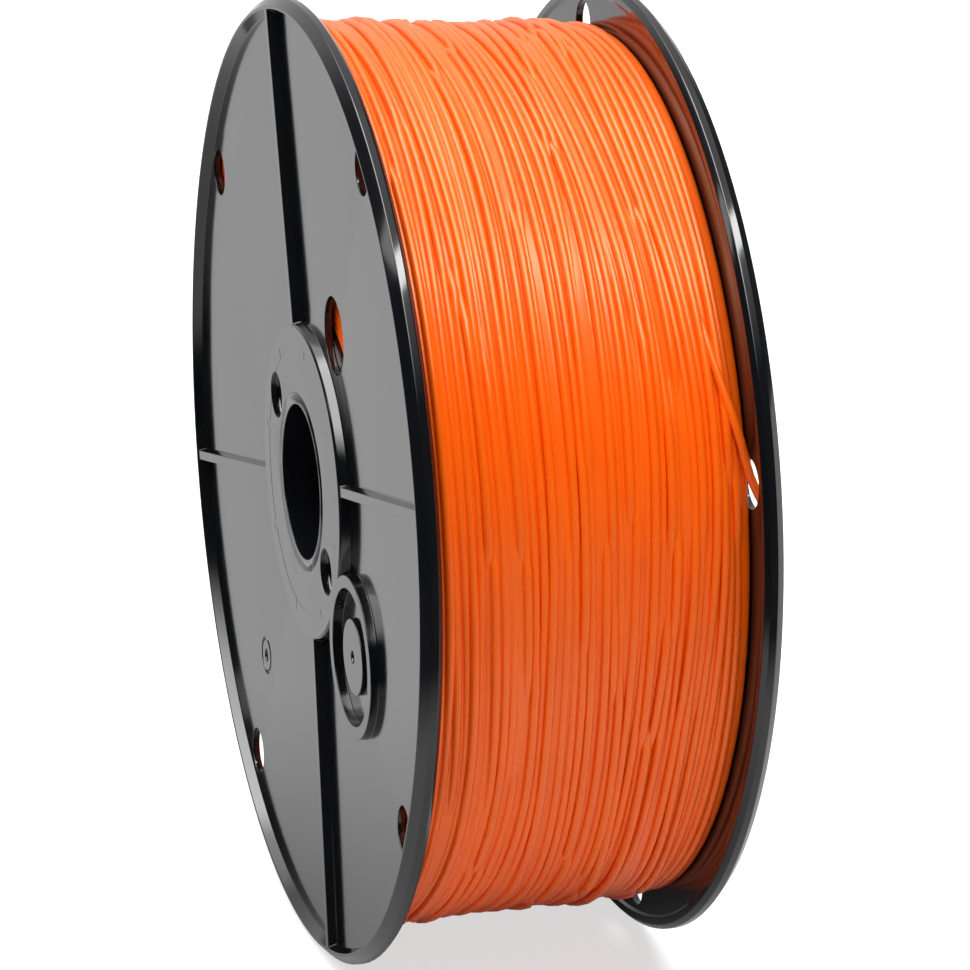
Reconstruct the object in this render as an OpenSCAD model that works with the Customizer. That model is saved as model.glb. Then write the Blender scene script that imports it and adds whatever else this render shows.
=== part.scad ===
// Filament spool: two moulded flanges on a barrel, wound full of filament.
// The axle runs along Y and the origin is its midpoint. The spool stands on its rims, +Z up.

/* [Spool] */
// Outer diameter of both flanges
flange_d = 200; // [170:1:260]
// Width over the two flanges
spool_w = 72; // [50:1:110]
// Diameter of the through bore
bore_d = 32.4; // [26:0.2:34]
// Turn of the front flange about the axle, from ribs upright
front_turn = 13; // [0:1:90]
// Turn of the rear flange about the axle, from ribs upright
rear_turn = 58; // [0:1:90]

/* [Rim] */
// Radial thickness of the rim at its outer face
rim_wall = 2.4; // [2:0.1:4]
// Chamfer on the rim's outer edge
rim_bevel = 1.8; // [0.5:0.1:1.9]
// Chamfer on the rim's inner edge, beside the winding
rim_inner_bevel = 1; // [0.3:0.1:1.6]
// How far the rim stands past the web towards the winding
rim_lip = 0.5; // [0.3:0.1:2]

/* [Web] */
// Thickness of the flange's web
web_t = 1.6; // [1.2:0.1:3]
// Depth of the web below the rim's face, and height of the ribs
recess = 2.2; // [1.8:0.1:4]
// How much deeper the web lies at the hub than at the rim
flange_dish = 1.2; // [0.4:0.1:2]
// Number of ribs from hub to rim
rib_count = 4; // [3:1:5]
// Thickness of a rib at its edge
rib_t = 2; // [1.2:0.1:4]
// How far a rib's edge lies below the faces of rim and hub
rib_drop = 0.3; // [0.1:0.1:0.8]
// How far a raised wall leans out from its edge to its root
draft = 0.4; // [0.2:0.1:1.6]

/* [Hub] */
// Diameter of the hub's raised face
hub_d = 65.6; // [64:0.2:66]
// Thickness of the hub's side wall
hub_wall = 2.4; // [1.6:0.1:3]
// Thickness of the hub's face
hub_face_t = 2; // [1.4:0.1:3]
// Diameter of the shallow step in the hub's face
hub_step_d = 55; // [52:0.5:60]
// Depth of the shallow step
hub_step = 0.4; // [0.2:0.1:0.8]
// Number of weld marks round the step
weld_count = 8; // [4:1:12]

/* [Holes] */
// Diameter of the two drive holes
drive_hole_d = 9.8; // [6:0.2:10]
// Width of hub left between a drive hole and the barrel's bore tube
drive_hole_edge = 0.9; // [0.6:0.1:1.2]
// Diameter of the holes beside the rim
rim_hole_d = 10; // [5:0.5:11]
// Width of web left between a rim hole and the foot of the rim's wall
rim_hole_edge = 1; // [0.4:0.1:3]
// Number of holes beside the rim
rim_hole_count = 4; // [2:1:4]
// Diameter of the hole that takes the filament's inner end
start_hole_d = 16; // [8:0.5:18]
// Gap between that hole and the hub
start_hole_edge = 1.3; // [0.3:0.1:3]
// Angle of that hole from the first rib
start_hole_angle = 47; // [35:1:58]

/* [Collar] */
// Outer diameter of the round collar beside the hub
collar_d = 33.2; // [24:0.2:36]
// Thickness of the collar's wall
collar_wall = 2.6; // [1.6:0.1:3]
// Distance of the collar from the axle
collar_r = 47; // [45:0.5:56]
// Diameter of the button inside the collar
button_d = 15.6; // [8:0.2:17]
// How far the button's face lies below the collar's
button_drop = 0.6; // [0.2:0.1:1.2]
// Diameter of the dimple in the button
dimple_d = 2.6; // [1.5:0.1:5]
// Depth of the dimple
dimple_depth = 0.8; // [0.3:0.1:1]
// Diameter of the mould mark on the web
mark_d = 8.4; // [5:0.2:12]
// Distance of the mould mark from the axle
mark_r = 66; // [60:1:72]

/* [Barrel] */
// Outer diameter of the barrel that the filament winds on
barrel_d = 73; // [72:0.5:90]
// Thickness of the barrel's outer wall
barrel_wall = 2.4; // [1.6:0.1:2.6]
// Thickness of the wall round the bore
bore_wall = 2.4; // [1.8:0.1:2.6]
// Number of spokes between bore and barrel
spoke_count = 4; // [3:1:6]
// Thickness of a spoke
spoke_t = 2; // [1.2:0.1:4]
// Length of the flange's locating ring inside the barrel
locating_len = 3; // [2:0.5:6]
// Thickness of the locating ring
locating_t = 1.6; // [1.2:0.1:1.8]
// Gap where one moulding plugs into another
fit_gap = 0.1; // [0.05:0.01:0.2]

/* [Filament] */
// Diameter of the filament
filament_d = 1.75; // [1.6:0.05:2]
// Gap between the front rim's edge and the top of the winding, in radius
headroom_front = 5.5; // [5:0.1:30]
// Gap between the rear rim's edge and the top of the winding, in radius
headroom_rear = 8.6; // [7:0.1:30]
// Gap between the winding and each flange
side_gap = 0.3; // [0.2:0.05:1]
// Gap between the bulk of the winding and its outer layer
layer_gap = 0.1; // [0.05:0.05:0.3]
// Number of turns in the outer layer
outer_turns = 24; // [8:1:24]
// Angle from the tail's hole back to where the outer layer ends
tail_lead = 24; // [20:1:30]

/* [Hidden] */

$fn = 120;
black = "#26272a";
orange = "#f26a12";
merge = 0.4; // how far joined shapes run into each other
past = 1; // how far a cut runs past the faces it goes through
weld_w = 1.2; // width of a weld mark
mark_line = 0.8; // width of the mould mark's ring
mark_depth = 0.3;
loop_steps = 24; // rings in one turn of the outer layer
turn_sides = 6;
tail_sides = 8;
rim_hole_start = 225; // rim holes lie midway between the ribs
drive_angle = 135; // drive holes lie on a diagonal of the ribs
mark_angle = -141;
collar_angle = -45;

flange_r = flange_d / 2;
half_w = spool_w / 2;
rim_r = flange_r - rim_wall; // inner edge of the rim's outer face
rim_foot_r = rim_r - 2 * draft; // foot of the rim's wall on the web
web_back = recess + web_t; // depth of the web's inner face at the rim
rim_w = web_back + rim_lip;
hub_r = hub_d / 2;
hub_foot_r = hub_r + draft;
barrel_r = barrel_d / 2;
bore_r = bore_d / 2;
bore_tube_r = bore_r + bore_wall;
barrel_inner_r = barrel_r - barrel_wall;
flat_r = barrel_r + 2; // the web is flat inside this radius and dished outside it
round_edge = 0.4; // small chamfer on the edges of raised walls
web_front_hub = recess + flange_dish;
web_back_hub = web_back + flange_dish;
step_face = flange_dish + hub_step;
drive_hole_r = bore_tube_r + fit_gap + drive_hole_edge + drive_hole_d / 2;
rim_hole_r = rim_foot_r - rim_hole_edge - rim_hole_d / 2;
start_hole_r = hub_foot_r + start_hole_edge + start_hole_d / 2;
barrel_half = half_w - web_back_hub;
bore_half = half_w - step_face;
ring_outer_r = barrel_inner_r - fit_gap; // locating ring inside the barrel
ring_inner_r = ring_outer_r - locating_t;
hub_hollow_r = min(hub_r - hub_wall, ring_inner_r - web_t); // leaves web to carry the ring
flange_depth = web_back_hub + locating_len; // from the rim's face to the end of the ring

// Depths of the web's outer and inner faces below the rim's face, at radius r
function web_front_at(r) =
    recess + flange_dish * max(0, min(1, (rim_foot_r - r) / (rim_foot_r - flat_r)));
function web_back_at(r) = web_front_at(r) + web_t;

// ---- flanges ----

// Half section of the flange: radius, then height above the rim's face
module flange_section() {
    polygon([
        [bore_tube_r + fit_gap, -step_face],
        [hub_step_d / 2, -step_face],
        [hub_step_d / 2, -flange_dish],
        [hub_r - round_edge, -flange_dish],
        [hub_r, -flange_dish - round_edge],
        [hub_foot_r, -web_front_hub],
        [flat_r, -web_front_hub],
        [rim_foot_r, -recess],
        [rim_r, 0],
        [flange_r - rim_bevel, 0],
        [flange_r, -rim_bevel],
        [flange_r, rim_inner_bevel - rim_w],
        [flange_r - rim_inner_bevel, -rim_w],
        [rim_r, -rim_w],
        [rim_foot_r, -web_back],
        [flat_r, -web_back_hub],
        [ring_outer_r, -web_back_hub],
        [ring_outer_r, -flange_depth],
        [ring_inner_r, -flange_depth],
        [ring_inner_r, -web_back_hub],
        [hub_hollow_r, -web_back_hub],
        [hub_hollow_r, -step_face - hub_face_t],
        [bore_tube_r + fit_gap, -step_face - hub_face_t],
    ]);
}

// One rib: its edge follows the dish, its sides lean out, and its root is buried in the web
module rib() {
    length = rim_r - hub_r;
    root_w = rib_t + 2 * draft;
    root_z = rib_drop - recess;
    translate([hub_r - merge, 0, -flange_dish - rib_drop])
        rotate([0, -atan(flange_dish / length), 0])
            rotate([90, 0, 90])
                linear_extrude(length + merge)
                    polygon([
                        [rib_t / 2, 0],
                        [-rib_t / 2, 0],
                        [-root_w / 2, root_z],
                        [-root_w / 2, root_z - web_t / 2],
                        [root_w / 2, root_z - web_t / 2],
                        [root_w / 2, root_z],
                    ]);
}

// Round collar with a button in its middle, level with the hub's face
module collar() {
    bottom = -web_front_hub - merge;
    height = recess + merge;
    translate([collar_r, 0, bottom]) {
        difference() {
            cylinder(d1 = collar_d + draft, d2 = collar_d, h = height);
            translate([0, 0, -past]) cylinder(d = collar_d - 2 * collar_wall, h = height + 2 * past);
        }
        difference() {
            cylinder(d = button_d, h = height - button_drop);
            translate([0, 0, height - button_drop - dimple_depth])
                cylinder(d = dimple_d, h = dimple_depth + past);
        }
    }
}

// Shallow ring and dot that the mould leaves on the web
module mould_mark() {
    translate([mark_r, 0, -web_front_at(mark_r) - mark_depth]) {
        difference() {
            cylinder(d = mark_d, h = recess);
            translate([0, 0, -past]) cylinder(d = mark_d - 2 * mark_line, h = recess + 2 * past);
        }
        cylinder(d = mark_d / 3, h = recess);
    }
}

// A through hole of diameter d at radius r and angle a
module through(d, r, a) {
    rotate(a) translate([r, 0, -flange_depth - past]) cylinder(d = d, h = flange_depth + 2 * past);
}

// Flange in its own frame: outer face up at z = 0
module flange() {
    difference() {
        union() {
            rotate_extrude() flange_section();
            for (i = [0 : rib_count - 1]) rotate(i * 360 / rib_count) rib();
            rotate(collar_angle) collar();
        }
        for (i = [0 : rim_hole_count - 1])
            through(rim_hole_d, rim_hole_r, rim_hole_start + i * 360 / rim_hole_count);
        for (i = [0, 180]) through(drive_hole_d, drive_hole_r, drive_angle + i);
        through(start_hole_d, start_hole_r, start_hole_angle);
        rotate(mark_angle) mould_mark();
        // weld marks: short notches across the step in the hub's face
        for (i = [0 : weld_count - 1])
            rotate((i + 0.5) * 360 / weld_count)
                translate([hub_step_d / 2 - merge, -weld_w / 2, -step_face])
                    cube([2 * weld_w, weld_w, hub_step + past]);
    }
}

module front_flange() {
    color(black)
        translate([0, -half_w, 0]) rotate([0, -front_turn, 0]) rotate([90, 0, 0]) flange();
}

module rear_flange() {
    color(black)
        translate([0, half_w, 0]) rotate([0, -rear_turn, 0]) rotate([90, 0, 180]) flange();
}

// ---- barrel ----

// Ring of outer radius ro and inner radius ri, centred on the axle, 2 * half long
module axle_ring(ro, ri, half) {
    rotate([90, 0, 0])
        difference() {
            cylinder(r = ro, h = 2 * half, center = true);
            cylinder(r = ri, h = 2 * (half + past), center = true);
        }
}

module barrel() {
    spoke_half = barrel_half - locating_len - merge;
    color(black)
        union() {
            axle_ring(barrel_r, barrel_inner_r, barrel_half);
            axle_ring(bore_tube_r, bore_r, bore_half);
            for (i = [0 : spoke_count - 1])
                rotate([0, -front_turn - 90 / spoke_count - i * 360 / spoke_count, 0])
                    translate([bore_tube_r - merge, -spoke_half, -spoke_t / 2])
                        cube([barrel_inner_r - bore_tube_r + 2 * merge, 2 * spoke_half, spoke_t]);
        }
}

// ---- winding ----

top_front = flange_r - headroom_front; // radius over the outer layer at the front flange
top_rear = flange_r - headroom_rear;
wind_front = half_w - web_back_at(top_front) - side_gap; // how far the winding reaches to the front
wind_rear = half_w - web_back_at(top_rear) - side_gap;
chord_drop = top_front * (1 - cos(180 / loop_steps)); // how far a chord of a turn dips
core_drop = filament_d + chord_drop + layer_gap;
first_y = -wind_front + filament_d / 2;
last_y = wind_rear - filament_d / 2;

function top_at(y) = top_front + (top_rear - top_front) * (y - first_y) / (last_y - first_y);

// Bulk of the winding: plain rings of filament under the outer layer
module winding_core() {
    root_r = barrel_r + fit_gap;
    inner_half = half_w - web_back_hub - side_gap;
    color(orange)
        rotate([90, 0, 0])
            rotate_extrude()
                polygon([
                    [root_r, -inner_half],
                    [flat_r, -inner_half],
                    [top_rear - core_drop, -wind_rear],
                    [top_front - core_drop, wind_front],
                    [flat_r, inner_half],
                    [root_r, inner_half],
                ]);
}

// A point at angle a about the axle (from +X towards +Z), radius r and place y
function polar(a, r, y) = [r * cos(a), y, r * sin(a)];

function unit(v) = v / norm(v);

// Ring of points at centre i of the list c, square to the run there, first point furthest out
function ring(c, i, d, sides) =
    let (
        ahead = unit(c[min(i + 1, len(c) - 1)] - c[max(i - 1, 0)]),
        side = unit(cross(ahead, [c[i][0], 0, c[i][2]])),
        out = cross(side, ahead)
    )
    [for (k = [0 : sides - 1]) let (f = k * 360 / sides) c[i] + d / 2 * (cos(f) * out + sin(f) * side)];

// Triangles of a closed tube with n rings
function tube_faces(n, sides) = concat(
    [for (i = [0 : n - 2], k = [0 : sides - 1]) let (j = (k + 1) % sides)
        [i * sides + k, (i + 1) * sides + j, i * sides + j]],
    [for (i = [0 : n - 2], k = [0 : sides - 1]) let (j = (k + 1) % sides)
        [i * sides + k, (i + 1) * sides + k, (i + 1) * sides + j]],
    [for (k = [1 : sides - 2]) [0, k, k + 1]],
    [for (k = [1 : sides - 2]) [(n - 1) * sides, (n - 1) * sides + k + 1, (n - 1) * sides + k]]
);

// Tube from centre a to centre b of the list c
module tube(c, a, b, d, sides) {
    points = [for (i = [a : b]) each ring(c, i, d, sides)];
    polyhedron(points, tube_faces(b - a + 1, sides));
}

tail_hole_angle = rear_turn + 180 - rim_hole_start;
end_angle = tail_hole_angle + tail_lead;
step_angle = 360 / loop_steps;
ring_count = outer_turns * loop_steps + 1;

// Centres of the outer layer's rings, from the front flange to the rear one
turn_centres = [
    for (i = [0 : ring_count - 1])
        let (y = first_y + i / (ring_count - 1) * (last_y - first_y))
            polar(end_angle + (ring_count - 1 - i) * step_angle, top_at(y) - filament_d / 2, y)
];
least_gap = min([
    for (i = [0 : ring_count - 1 - loop_steps]) norm(turn_centres[i + loop_steps] - turn_centres[i])
]) - filament_d;
echo(least_gap_between_turns_mm = least_gap);

// The tail follows on from the outer layer and goes out through a rim hole of the rear flange.
// Each stop is its angle before that hole, its lift over the turns, and how far it has come
// from the winding's side (0) to the flange's outer side (1).
tail_stops = [
    [24, 0, 0], [22.9, 0, 0], [20, 0.1, 0], [17, 0.4, 0], [14, 0.8, 0], [11, 1.1, 0],
    [8, 1.3, 0], [5.6, 1.3, 0], [3.8, 1.2, 0], [2.7, 1.1, 0.03], [1.8, 1, 0.12],
    [1, 0.9, 0.28], [0, 0.8, 0.52], [-1, 0.7, 0.76], [-1.8, 0.5, 0.91], [-2.7, 0.4, 0.99],
    [-3.8, 0.2, 1], [-6, -0.2, 1], [-9, -0.8, 1], [-12, -1.6, 1],
];
tail_out_y = half_w - web_front_at(top_rear) + filament_d / 2 + side_gap;
tail_centres = [
    for (s = tail_stops)
        polar(
            tail_hole_angle + s[0] * tail_lead / tail_stops[0][0],
            top_rear - filament_d / 2 + s[1],
            last_y + s[2] * (tail_out_y - last_y)
        )
];

// The whole strand in one list, so that layer and tail meet face to face
strand = concat(turn_centres, [for (i = [1 : len(tail_centres) - 1]) tail_centres[i]]);

module outer_turns_layer() {
    color(orange) tube(strand, 0, ring_count - 1, filament_d, turn_sides);
}

module filament_tail() {
    color(orange) tube(strand, ring_count - 1, len(strand) - 1, filament_d, tail_sides);
}

front_flange();
rear_flange();
barrel();
winding_core();
outer_turns_layer();
filament_tail();
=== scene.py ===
import math

import bmesh
import bpy
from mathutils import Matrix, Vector, noise


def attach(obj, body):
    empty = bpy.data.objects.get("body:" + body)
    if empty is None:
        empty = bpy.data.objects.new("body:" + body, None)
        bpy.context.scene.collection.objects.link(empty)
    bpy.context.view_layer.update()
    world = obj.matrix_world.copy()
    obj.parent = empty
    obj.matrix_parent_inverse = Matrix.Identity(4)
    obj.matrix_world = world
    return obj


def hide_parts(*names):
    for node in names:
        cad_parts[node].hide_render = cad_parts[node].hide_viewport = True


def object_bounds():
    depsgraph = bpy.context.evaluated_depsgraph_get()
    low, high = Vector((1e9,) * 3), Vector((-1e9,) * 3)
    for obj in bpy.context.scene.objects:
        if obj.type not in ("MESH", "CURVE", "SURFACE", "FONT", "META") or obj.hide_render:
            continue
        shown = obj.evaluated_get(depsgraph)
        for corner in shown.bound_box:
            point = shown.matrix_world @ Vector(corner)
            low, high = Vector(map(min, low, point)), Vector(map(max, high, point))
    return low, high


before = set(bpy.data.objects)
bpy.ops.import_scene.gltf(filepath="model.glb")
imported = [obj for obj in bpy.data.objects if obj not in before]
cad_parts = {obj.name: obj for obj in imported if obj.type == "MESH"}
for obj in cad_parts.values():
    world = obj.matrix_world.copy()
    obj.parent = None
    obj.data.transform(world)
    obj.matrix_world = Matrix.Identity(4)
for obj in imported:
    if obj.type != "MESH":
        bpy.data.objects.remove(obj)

cad_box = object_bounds()

# Lengths are in metres and angles in radians, unless a comment says otherwise.

# ---- camera ----
# Stands a little above the axle, in front of the winding and on the front flange's side.
# A long lens keeps the two rims nearly the same size.
camera_place = Vector((0.8535, -0.2407, 0.2739))
camera_aim = Vector((-0.9171, 0.2639, -0.2987))
lens = bpy.data.cameras.new("camera")
lens.lens = 164.8
lens.sensor_width = 36
camera = bpy.data.objects.new("camera", lens)
camera.location = camera_place
camera.rotation_mode = "QUATERNION"
camera.rotation_quaternion = camera_aim.to_track_quat("-Z", "Y")
bpy.context.scene.collection.objects.link(camera)
bpy.context.scene.camera = camera

# ---- studio ----
# A sheet of white paper under the spool, a long softbox above the winding, a small one beside the
# front flange and a pale room. The long softbox gives the short bright bars on both rims.
scene = bpy.context.scene
scene.view_settings.view_transform = "Standard"


def linear(hex_colour):
    """An sRGB hex colour as linear red, green, blue and alpha."""
    parts = [int(hex_colour[i:i + 2], 16) / 255 for i in (1, 3, 5)]
    return [c / 12.92 if c <= 0.04045 else ((c + 0.055) / 1.055) ** 2.4 for c in parts] + [1]


def add(tree, kind, settings=None, inputs=None):
    """Add one node; an input's value is a constant or another node's output."""
    node = tree.nodes.new(kind)
    for name, value in (settings or {}).items():
        setattr(node, name, value)
    for name, value in (inputs or {}).items():
        if isinstance(value, bpy.types.NodeSocket):
            tree.links.new(value, node.inputs[name])
        else:
            node.inputs[name].default_value = value
    return node


def new_material(name):
    """An empty node material and its tree."""
    material = bpy.data.materials.new(name)
    material.use_nodes = True
    material.node_tree.nodes.clear()
    return material, material.node_tree


def ramp(tree, value, from_min, from_max, to_min, to_max):
    """A smooth step from one value to another, held flat outside it."""
    return add(tree, "ShaderNodeMapRange", {"interpolation_type": "SMOOTHSTEP"}, {
        "Value": value, "From Min": from_min, "From Max": from_max,
        "To Min": to_min, "To Max": to_max}).outputs[0]


# What gloss sees of the paper is painted light and painted shade, set by place and not by the
# lamps.
sheet_front = 0.16           # how far the bright part of the paper reaches towards the camera
sheet_side = 0.16            # and past the front flange
sheet_lean = 0.35            # how far the edge on that side leans
sheet_fade = 0.12            # how wide both edges fade
bright_level, shade_level = 0.9, 0.06        # what gloss sees of the paper
clear_level = 0.66           # what the camera sees of it, before the light that falls on it


def make_paper():
    """White paper sheet, matt. In gloss it glows with painted light: bright behind the spool, with
    painted shade in front of it and past the front flange, and a painted shadow under the spool.
    """
    material, tree = new_material("paper, white, matt")
    rays = add(tree, "ShaderNodeLightPath").outputs
    place = add(tree, "ShaderNodeTexCoord").outputs["Object"]
    at = add(tree, "ShaderNodeSeparateXYZ", inputs={0: place}).outputs
    # Painted shade: in gloss the paper darkens towards the camera and past the front flange.
    front = ramp(tree, at["X"], sheet_front, sheet_front + sheet_fade, bright_level, shade_level)
    lean = add(tree, "ShaderNodeMath", {"operation": "MULTIPLY_ADD"},
               {0: at["X"], 1: -sheet_lean, 2: at["Y"]}).outputs[0]
    side = ramp(tree, lean, -sheet_side - sheet_fade, -sheet_side, shade_level, 1.0)
    # Painted shadow: ambient occlusion darkens the paper under the spool, in gloss only.
    under = add(tree, "ShaderNodeAmbientOcclusion", {"samples": 6}, {"Distance": 0.1}).outputs["AO"]
    painted_gloss_light = add(tree, "ShaderNodeMath", {"operation": "MULTIPLY"}, {0: front, 1: side}).outputs[0]
    painted_gloss_light = add(tree, "ShaderNodeMath", {"operation": "MULTIPLY"}, {0: painted_gloss_light, 1: under}).outputs[0]
    sheet = add(tree, "ShaderNodeBsdfDiffuse", inputs={"Color": linear("#cfcfcf")}).outputs[0]
    # Painted reflection: to gloss rays the paper glows with this painted light instead of being
    # lit.
    mirrored = add(tree, "ShaderNodeEmission", inputs={"Strength": painted_gloss_light}).outputs[0]
    clear = add(tree, "ShaderNodeEmission", inputs={"Strength": clear_level}).outputs[0]
    faint = add(tree, "ShaderNodeBsdfDiffuse", inputs={"Color": linear("#c0c0c0")}).outputs[0]
    seen = add(tree, "ShaderNodeAddShader", inputs={0: clear, 1: faint}).outputs[0]
    to_gloss = add(tree, "ShaderNodeMixShader",
                   inputs={0: rays["Is Glossy Ray"], 1: sheet, 2: mirrored}).outputs[0]
    direct = add(tree, "ShaderNodeMath", {"operation": "MAXIMUM"},
                 {0: rays["Is Camera Ray"], 1: rays["Is Transmission Ray"]}).outputs[0]
    mixed = add(tree, "ShaderNodeMixShader", inputs={0: direct, 1: to_gloss, 2: seen})
    add(tree, "ShaderNodeOutputMaterial", inputs={"Surface": mixed.outputs[0]})
    return material


paper_size = 6.0
bpy.ops.mesh.primitive_plane_add(size=paper_size)
floor = bpy.context.object
floor.name = "floor"
floor.data.transform(floor.matrix_world.Translation((0, 0, cad_box[0].z)))
floor.data.materials.append(make_paper())

world = bpy.data.worlds.new("room")
scene.world = world
world.use_nodes = True
room = world.node_tree
room.nodes.clear()
wall_level = 0.04            # light that the pale walls give
ceiling_level = 5.6
ceiling_side = (-0.12, -0.12, 0.985)         # where the ceiling is brightest
seen_by = add(room, "ShaderNodeLightPath").outputs
towards = add(room, "ShaderNodeTexCoord").outputs["Generated"]
facing = add(room, "ShaderNodeSeparateXYZ", inputs={0: towards}).outputs
# What gloss sees: the back, front and side walls, and the lamps overhead
back_wall = ramp(room, facing["X"], -0.45, 0.1, 0.9, 0.2)
front_wall = ramp(room, facing["X"], 0.1, 0.5, 0.0, -0.16)
overhead = ramp(room, facing["Z"], 0.5, 0.85, 0.0, 1.0)
beside = ramp(room, facing["Y"], -0.05, 0.14, 11.0, 1.1)
ahead = ramp(room, facing["X"], -0.5, -0.3, 0.35, 1.0)
side_wall = add(room, "ShaderNodeMath", {"operation": "ABSOLUTE"}, {0: facing["Y"]}).outputs[0]
side_wall = ramp(room, side_wall, 0.38, 0.68, 1.0, 0.06)
# What matt surfaces see: a bright ceiling over pale walls
above = add(room, "ShaderNodeVectorMath", {"operation": "DOT_PRODUCT"},
            {0: towards, 1: ceiling_side}).outputs["Value"]
ceiling = ramp(room, above, 0.62, 0.96, 0.0, ceiling_level)
# The room's light for each kind of ray: gloss, matt and the camera's own
gloss_level = add(room, "ShaderNodeMath", {"operation": "ADD"},
                  {0: back_wall, 1: front_wall}).outputs[0]
for share in (beside, ahead):
    overhead = add(room, "ShaderNodeMath", {"operation": "MULTIPLY"},
                   {0: overhead, 1: share}).outputs[0]
gloss_level = add(room, "ShaderNodeMath", {"operation": "MAXIMUM"},
                  {0: gloss_level, 1: overhead}).outputs[0]
gloss_level = add(room, "ShaderNodeMath", {"operation": "MULTIPLY"},
                  {0: gloss_level, 1: side_wall}).outputs[0]
plain_level = add(room, "ShaderNodeMath", {"operation": "ADD"},
                  {0: ceiling, 1: wall_level}).outputs[0]
plain = add(room, "ShaderNodeBackground", inputs={"Strength": plain_level}).outputs[0]
mirrored = add(room, "ShaderNodeBackground", inputs={"Strength": gloss_level}).outputs[0]
white = add(room, "ShaderNodeBackground", inputs={"Strength": 1.0}).outputs[0]
walls = add(room, "ShaderNodeMixShader",
            inputs={0: seen_by["Is Glossy Ray"], 1: plain, 2: mirrored}).outputs[0]
walls = add(room, "ShaderNodeMixShader",
            inputs={0: seen_by["Is Camera Ray"], 1: walls, 2: white}).outputs[0]
add(room, "ShaderNodeOutputWorld", inputs={"Surface": walls})


def softbox(name, direction, distance, width, height, power):
    """A rectangular area lamp that lies in one direction from the spool and faces it."""
    lamp = bpy.data.lights.new(name, "AREA")
    lamp.shape = "RECTANGLE"
    lamp.size = width
    lamp.size_y = height
    lamp.energy = power
    box = bpy.data.objects.new(name, lamp)
    away = Vector(direction).normalized()
    box.location = away * distance
    box.rotation_mode = "QUATERNION"
    box.rotation_quaternion = (-away).to_track_quat("-Z", "Y")
    scene.collection.objects.link(box)


softbox("key softbox", (0.43, 0.22, 0.875), 1.3, 0.74, 0.18, 6.0)
softbox("side softbox", (-0.04, -0.81, 0.59), 1.3, 0.2, 0.24, 0.4)

# ---- flanges and barrel ----
# Three glossy black mouldings of high-impact polystyrene: two flanges alike, welded to a barrel.
# The mould rounds every edge a little, and those rounded edges catch the light.


def make_polystyrene():
    """High-impact polystyrene from a polished mould: deep black, glossy and faintly wavy."""
    material, tree = new_material("polystyrene, black, moulded glossy")
    place = add(tree, "ShaderNodeTexCoord").outputs["Object"]
    sink = add(tree, "ShaderNodeTexNoise", inputs={"Vector": place, "Scale": 26, "Detail": 2})
    rub = add(tree, "ShaderNodeTexNoise", inputs={"Vector": place, "Scale": 420, "Detail": 5})
    gloss = add(tree, "ShaderNodeMapRange",
                inputs={"Value": rub.outputs["Fac"], "To Min": 0.08, "To Max": 0.13})
    wave = add(tree, "ShaderNodeBump",
               inputs={"Height": sink.outputs["Fac"], "Strength": 0.12, "Distance": 0.0006})
    plastic = add(tree, "ShaderNodeBsdfPrincipled", inputs={
        "Base Color": linear("#101114"), "IOR": 1.59,
        "Roughness": gloss.outputs[0], "Normal": wave.outputs[0]})
    add(tree, "ShaderNodeOutputMaterial", inputs={"Surface": plastic.outputs[0]})
    return material


polystyrene = make_polystyrene()
edge_round = 0.00016
edge_angle = math.radians(24)        # edges sharper than this are rounded
flat_angle = math.radians(0.5)       # faces this close to flat become one
same_point = 2e-6                    # points this close become one
bore_edge, hub_detail = 0.0180, 0.0305       # the hub's face, with its fine detail, lies between
step_level, step_faint = 0.03440, 0.03476    # the floor of that detail: in the solid, and drawn
level_slack = 0.00005


def moulding(node):
    """A moulding's mesh with its loose triangles merged and its sharp edges rounded."""
    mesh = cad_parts[node].data.copy()
    form = bmesh.new()
    form.from_mesh(mesh)
    bmesh.ops.remove_doubles(form, verts=form.verts, dist=same_point)
    bmesh.ops.dissolve_limit(form, angle_limit=flat_angle, verts=form.verts, edges=form.edges)
    for vertex in form.verts:        # the hub's step and weld marks are faint
        x, y, z = vertex.co
        if math.hypot(x, z) < hub_detail and abs(abs(y) - step_level) < level_slack:
            vertex.co.y = math.copysign(step_faint, y)
    rounded = form.edges.layers.float.new("bevel_weight_edge")
    for edge in form.edges:
        x, y, z = (edge.verts[0].co + edge.verts[1].co) / 2
        fine = bore_edge < math.hypot(x, z) < hub_detail and abs(y) > step_level
        if not fine and len(edge.link_faces) == 2 and edge.calc_face_angle() > edge_angle:
            edge[rounded] = 1.0
    bmesh.ops.recalc_face_normals(form, faces=form.faces)
    form.to_mesh(mesh)
    form.free()
    mesh.materials.clear()
    mesh.materials.append(polystyrene)
    mesh.shade_smooth()
    piece = bpy.data.objects.new(node + "_moulding", mesh)
    scene.collection.objects.link(piece)
    rounding = piece.modifiers.new("rounded edges", "BEVEL")
    rounding.width = edge_round
    rounding.segments = 2
    rounding.limit_method = "WEIGHT"
    rounding.use_clamp_overlap = False
    even = piece.modifiers.new("even shading", "WEIGHTED_NORMAL")
    even.keep_sharp = True
    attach(piece, "root")
    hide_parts(node)


for node in ("front_flange", "rear_flange", "barrel"):
    moulding(node)

# ---- winding ----
# One strand of orange filament, wound in layers. The last two layers are made turn by turn, over
# a drum that stands for the turns below: its sides show the layers, its outside fills the grooves.


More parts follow.
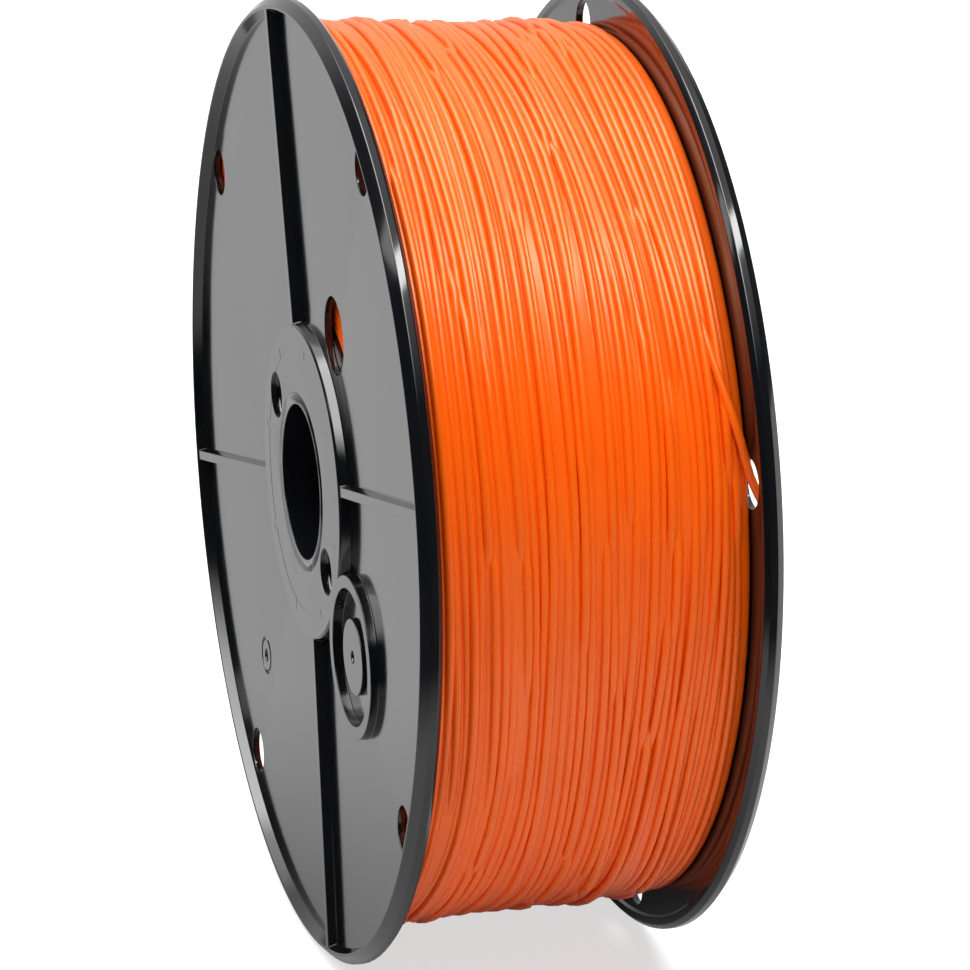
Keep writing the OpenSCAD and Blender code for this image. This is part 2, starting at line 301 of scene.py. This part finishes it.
def make_filament():
    """ABS filament, extruded and air cooled: smooth and half glossy, with a faint grain."""
    material, tree = new_material("ABS filament, orange, extruded")
    place = add(tree, "ShaderNodeTexCoord").outputs["Object"]
    grain = add(tree, "ShaderNodeTexNoise", inputs={"Vector": place, "Scale": 1400, "Detail": 3})
    shade = add(tree, "ShaderNodeTexNoise", inputs={"Vector": place, "Scale": 90, "Detail": 2})
    tint = add(tree, "ShaderNodeMix", {"data_type": "RGBA"}, {
        0: shade.outputs["Fac"], 6: linear("#f65c03"), 7: linear("#fc6605")})
    rough = add(tree, "ShaderNodeBump",
                inputs={"Height": grain.outputs["Fac"], "Strength": 0.15, "Distance": 0.00005})
    plastic = add(tree, "ShaderNodeBsdfPrincipled", inputs={
        "Base Color": tint.outputs[2], "IOR": 1.5, "Roughness": 0.3, "Specular IOR Level": 0.7,
        "Specular Tint": linear("#fff0cc"), "Normal": rough.outputs[0]})
    add(tree, "ShaderNodeOutputMaterial", inputs={"Surface": plastic.outputs[0]})
    return material


filament = make_filament()
strand_d = 0.00175
front_y = -0.03180           # where the winding ends at the front flange
rear_y = 0.03140
steps = 96                   # points in one turn


def make_sweep():
    """Geometry nodes that turn a line of points into a round strand."""
    tree = bpy.data.node_groups.new("sweep a strand", "GeometryNodeTree")
    face = tree.interface
    face.new_socket("Route", in_out="INPUT", socket_type="NodeSocketGeometry")
    face.new_socket("Diameter", in_out="INPUT", socket_type="NodeSocketFloat")
    face.new_socket("Sides", in_out="INPUT", socket_type="NodeSocketInt")
    face.new_socket("Finish", in_out="INPUT", socket_type="NodeSocketMaterial")
    face.new_socket("Strand", in_out="OUTPUT", socket_type="NodeSocketGeometry")
    given = add(tree, "NodeGroupInput").outputs
    radius = add(tree, "ShaderNodeMath", {"operation": "DIVIDE"}, {0: given["Diameter"], 1: 2.0})
    route = add(tree, "GeometryNodeMeshToCurve", inputs={"Mesh": given["Route"]})
    section = add(tree, "GeometryNodeCurvePrimitiveCircle",
                  inputs={"Resolution": given["Sides"], "Radius": radius.outputs[0]})
    swept = add(tree, "GeometryNodeCurveToMesh", inputs={
        "Curve": route.outputs[0], "Profile Curve": section.outputs["Curve"], "Fill Caps": True})
    smooth = add(tree, "GeometryNodeSetShadeSmooth", inputs={"Geometry": swept.outputs[0]})
    real = add(tree, "GeometryNodeRealizeInstances", inputs={"Geometry": smooth.outputs[0]})
    finished = add(tree, "GeometryNodeSetMaterial",
                   inputs={"Geometry": real.outputs[0], "Material": given["Finish"]})
    add(tree, "NodeGroupOutput", inputs={"Strand": finished.outputs[0]})
    return tree


sweep = make_sweep()


def strand_piece(name, route, sides):
    """A piece made of one strand swept along a list of points."""
    line = bpy.data.meshes.new(name + " route")
    line.from_pydata(route, [(i, i + 1) for i in range(len(route) - 1)], [])
    carrier = bpy.data.objects.new(name + " route", line)
    scene.collection.objects.link(carrier)
    sweeper = carrier.modifiers.new("sweep", "NODES")
    sweeper.node_group = sweep
    sockets = {item.name: item.identifier for item in sweep.interface.items_tree
               if item.in_out == "INPUT"}
    sweeper[sockets["Diameter"]] = strand_d
    sweeper[sockets["Sides"]] = sides
    sweeper[sockets["Finish"]] = filament
    swept = bpy.data.meshes.new_from_object(
        carrier.evaluated_get(bpy.context.evaluated_depsgraph_get()))
    bpy.data.objects.remove(carrier)
    piece = bpy.data.objects.new(name, swept)
    scene.collection.objects.link(piece)
    return piece


def polar(angle, radius, y):
    """A point round the axle: angle from +X towards +Z."""
    return (radius * math.cos(angle), y, radius * math.sin(angle))


def swell(angle, turn, spread, seed):
    """Smooth noise from -1 to 1 that has no jump where one turn becomes the next."""
    return noise.noise(Vector((math.cos(angle) * spread + seed, math.sin(angle) * spread, turn)))


def lay_turns(count, front, rear, last_angle, drift, spread, seed):
    """Angle and y of each point of a layer; turns lie side by side, closer here and wider there."""
    total = round(count * steps) + 1
    angles = [last_angle + (total - 1 - i) * math.tau / steps for i in range(total)]
    turns = [i / steps for i in range(total)]
    shares = [1 + drift * min(1, t / 2, (count - t) / 2) * swell(a, 0.83 * t, spread, seed)
              for a, t in zip(angles, turns)]
    pitch = (rear - front - strand_d) / count
    ys = [front + strand_d / 2 + t * pitch for t in turns]
    for first in range(steps):
        column = range(first + steps, total, steps)
        scale = len(column) * pitch / sum(shares[i] for i in column)
        for i in column:
            ys[i] = ys[i - steps] + scale * shares[i]
    return angles, ys


front_radius, rear_radius = 0.09375, 0.09165
front_rise, rear_sink = 0.0020, 0.0004       # how far the winding is from round at each side
front_top, rear_top = 2.15, 1.9              # and the angles where that is most
heap, heap_top = 0.0034, 2.6                 # turns heaped up against the front flange, and where
slow_swell = 0.0006


def layer_radius(angle, y):
    """Radius of the winding's surface: higher at the front and at the top, with slow swells."""
    along = min(1.0, max(0.0, (y - front_y) / (rear_y - front_y)))
    front_r = front_radius + front_rise * max(math.cos(angle - front_top), -0.65)
    front_r += heap * max(0.0, math.cos(angle - heap_top)) ** 4 * (1 - along) ** 8
    rear_r = rear_radius - rear_sink * max(math.cos(angle - rear_top), -0.5)
    swelling = slow_swell * swell(angle, y * 95, 1.1, 7.0)
    return front_r + (rear_r - front_r) * along ** 0.8 + swelling


low_drop = 0.0012            # how far the lower layer lies under the upper one
low_turns = 37
low_front, low_rear = -0.0319, 0.0320
low_angles, low_ys = lay_turns(low_turns, low_front, low_rear, 0.0, 0.7, 0.9, 3.0)
low_route = [polar(a, layer_radius(a, y) - low_drop - strand_d / 2, y)
             for a, y in zip(low_angles, low_ys)]
inner_turns = strand_piece("inner_turns", low_route, 8)
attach(inner_turns, "root")

buried_layers = 30
fill_depth = 0.00068         # how far the fill between the turns lies under the surface
fill_wave = 0.8              # and how much that depth changes from place to place
across_rows = 50             # points across the drum's outside
scallop = 6                  # points on one turn's outline, as seen at the sides of the winding
drum_bottom = 0.0367         # just clear of the barrel
drum_side, side_growth = 0.0302, 0.0017      # half the drum's width, and what it gains outwards
drum_outline = []
for side in (-1, 1):
    rows = range(buried_layers * scallop + 1)
    for row in (rows if side < 0 else reversed(rows)):
        layer = row / scallop
        radius = drum_bottom + layer * strand_d
        bulge = strand_d / 2 * math.sqrt(max(0.0, 1 - (2 * (layer % 1) - 1) ** 2))
        edge = drum_side + side_growth * layer / buried_layers
        drum_outline.append((radius, side * (edge - strand_d / 2 + bulge)))
    if side < 0:             # across the outside, from this side to the other
        drum_outline += [(radius, (2 * k / across_rows - 1) * edge)
                         for k in range(2, across_rows - 1)]
around = 160                 # sections round the axle
drum_mesh = bpy.data.meshes.new("buried_turns")
drum_points, drum_faces = [], []
for turn in range(around):
    angle = turn / around * math.tau
    for radius, y in drum_outline:
        reach = (radius - drum_bottom) / (buried_layers * strand_d)
        depth = fill_depth * (1 + fill_wave * swell(angle, y * 260, 1.6, 31.0))
        top = layer_radius(angle, y) - depth
        drum_points.append(polar(angle, drum_bottom + reach * (top - drum_bottom), y))
size = len(drum_outline)
for turn in range(around):
    here, there = turn * size, (turn + 1) % around * size
    for k in range(size):
        after = (k + 1) % size
        drum_faces.append((here + k, here + after, there + after, there + k))
drum_mesh.from_pydata(drum_points, [], drum_faces)
drum_mesh.materials.append(filament)
drum_mesh.shade_smooth()
buried_turns = bpy.data.objects.new("buried_turns", drum_mesh)
scene.collection.objects.link(buried_turns)
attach(buried_turns, "root")
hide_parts("winding_core")

end_angle = math.radians(80)
top_turns = 39.6
top_angles, top_ys = lay_turns(top_turns, front_y, rear_y, end_angle, 0.95, 1.0, 11.0)
lift = 0.0006                # how far one turn may stand over its neighbours
top_rs = [layer_radius(a, y) - strand_d / 2 + lift * swell(a, 1.9 * i / steps, 1.2, 23.0)
          for i, (a, y) in enumerate(zip(top_angles, top_ys))]
dip = 0.0015                 # both ends of the layer come up from the one below
run_in = 5                   # over this many points
least_space = 0.93           # of a strand's width: turns that lie closer are pushed up or down
push_rounds = 6
for i in range(run_in):
    top_rs[i] -= dip * (1 - i / run_in)
    top_rs[-1 - i] -= dip * (1 - i / run_in)
for _ in range(push_rounds):
    for i in range(len(top_rs) - steps):
        across = top_ys[i + steps] - top_ys[i]
        up = top_rs[i + steps] - top_rs[i]
        short = least_space * strand_d - math.hypot(across, up)
        if short > 0:
            push = 0.5 * short * (1 if up >= 0 else -1)
            top_rs[i + steps] += push
            top_rs[i] -= push
top_route = [polar(a, r, y) for a, r, y in zip(top_angles, top_rs, top_ys)]
outer_turns = strand_piece("outer_turns", top_route, 14)
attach(outer_turns, "root")
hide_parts("outer_turns_layer")

# ---- filament tail ----
# The free end comes up between two turns, crosses the last few and goes out through a rim hole
# of the rear flange, where it is bent over so that the winding can't spring open.
tail_stops = [               # angle, distance from the axle and y, in degrees and mm
    (41, 89.0, 24.8), (38, 89.6, 25.1), (35, 90.5, 25.6), (32, 91.1, 26.1), (29, 91.6, 26.7),
    (26, 92.0, 27.5), (23.5, 92.3, 28.3), (21.5, 92.5, 29.1), (19.5, 92.5, 29.9),
    (18, 92.3, 30.5), (16.5, 92.1, 31.0), (15.2, 91.8, 31.5), (14, 91.6, 32.0),
    (12.9, 91.4, 32.7), (11.9, 91.2, 33.4), (11, 91.1, 34.1), (10, 90.9, 34.65),
    (8.8, 90.7, 34.85), (7, 90.4, 34.86), (4.5, 89.8, 34.86), (1.5, 88.9, 34.86),
]
tail_route = [polar(math.radians(angle), r / 1000, y / 1000) for angle, r, y in tail_stops]
tail = strand_piece("filament_end", tail_route, 16)
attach(tail, "root")
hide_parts("filament_tail")
